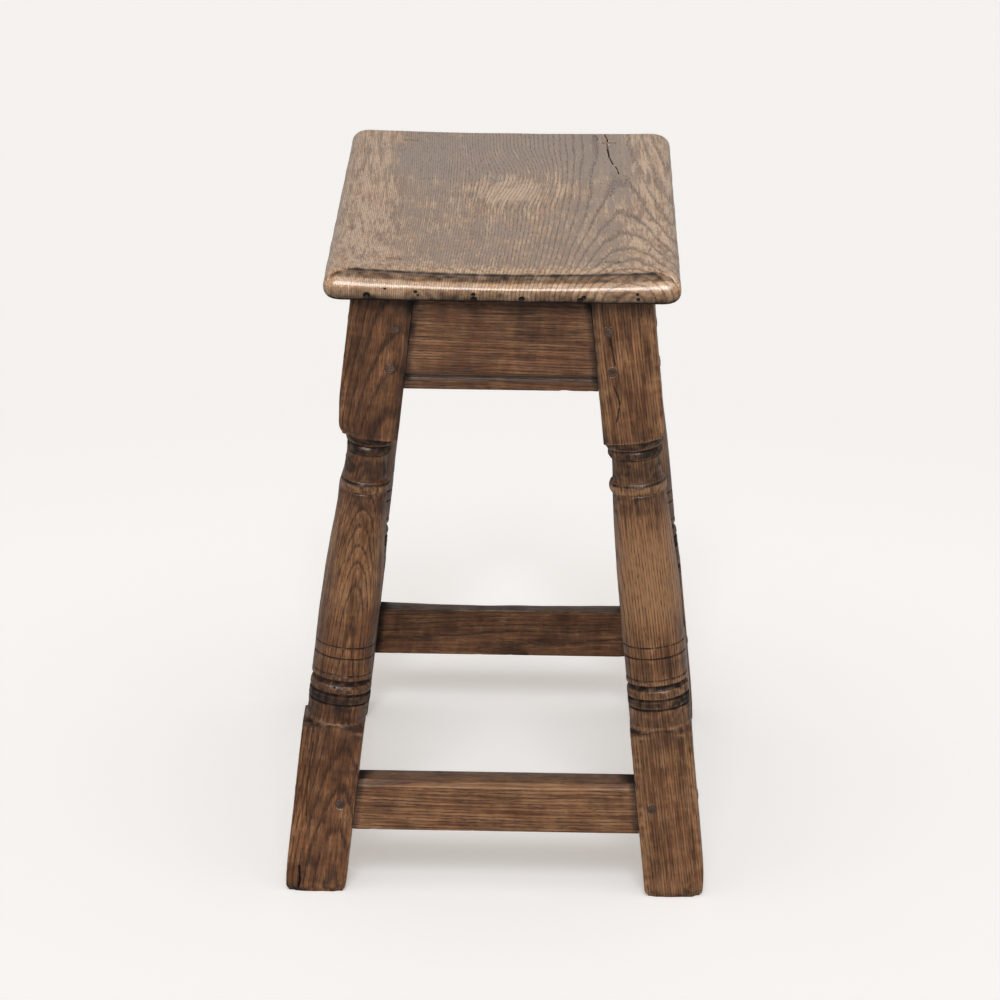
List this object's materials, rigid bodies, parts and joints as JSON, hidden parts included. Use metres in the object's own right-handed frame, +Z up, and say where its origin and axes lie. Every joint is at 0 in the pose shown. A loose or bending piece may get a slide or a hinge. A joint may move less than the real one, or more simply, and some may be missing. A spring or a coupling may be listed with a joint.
{
  "type": "joint stool",
  "caption": "Joined oak stool with a moulded seat board, splayed turned legs, aprons and low stretchers, all tenoned and pegged.",
  "frame": {"origin": "on the floor under the middle of the seat board", "axes": "+Z up, X across the short width of the seat, Y along the seat, front end at -Y"},
  "size_m": [0.352, 0.528, 0.54],
  "materials": {
    "oak_seat": "worn grey-brown oak with rubbed edges and a wax sheen",
    "oak_frame": "dark waxed oak",
    "oak_pegs": "riven oak end grain, darkened"
  },
  "bodies": {
    "root": {"seat_top": "oak_seat", "front_left_leg": "oak_frame", "front_right_leg": "oak_frame", "back_left_leg": "oak_frame", "back_right_leg": "oak_frame", "front_apron": "oak_frame", "back_apron": "oak_frame", "left_apron": "oak_frame", "right_apron": "oak_frame", "front_stretcher": "oak_frame", "back_stretcher": "oak_frame", "left_stretcher": "oak_frame", "right_stretcher": "oak_frame", "front_apron_pegs": "oak_pegs", "back_apron_pegs": "oak_pegs", "left_apron_pegs": "oak_pegs", "right_apron_pegs": "oak_pegs", "front_stretcher_pegs": "oak_pegs", "back_stretcher_pegs": "oak_pegs", "left_stretcher_pegs": "oak_pegs", "right_stretcher_pegs": "oak_pegs", "seat_pegs": "oak_pegs"}
  },
  "joints": []
}
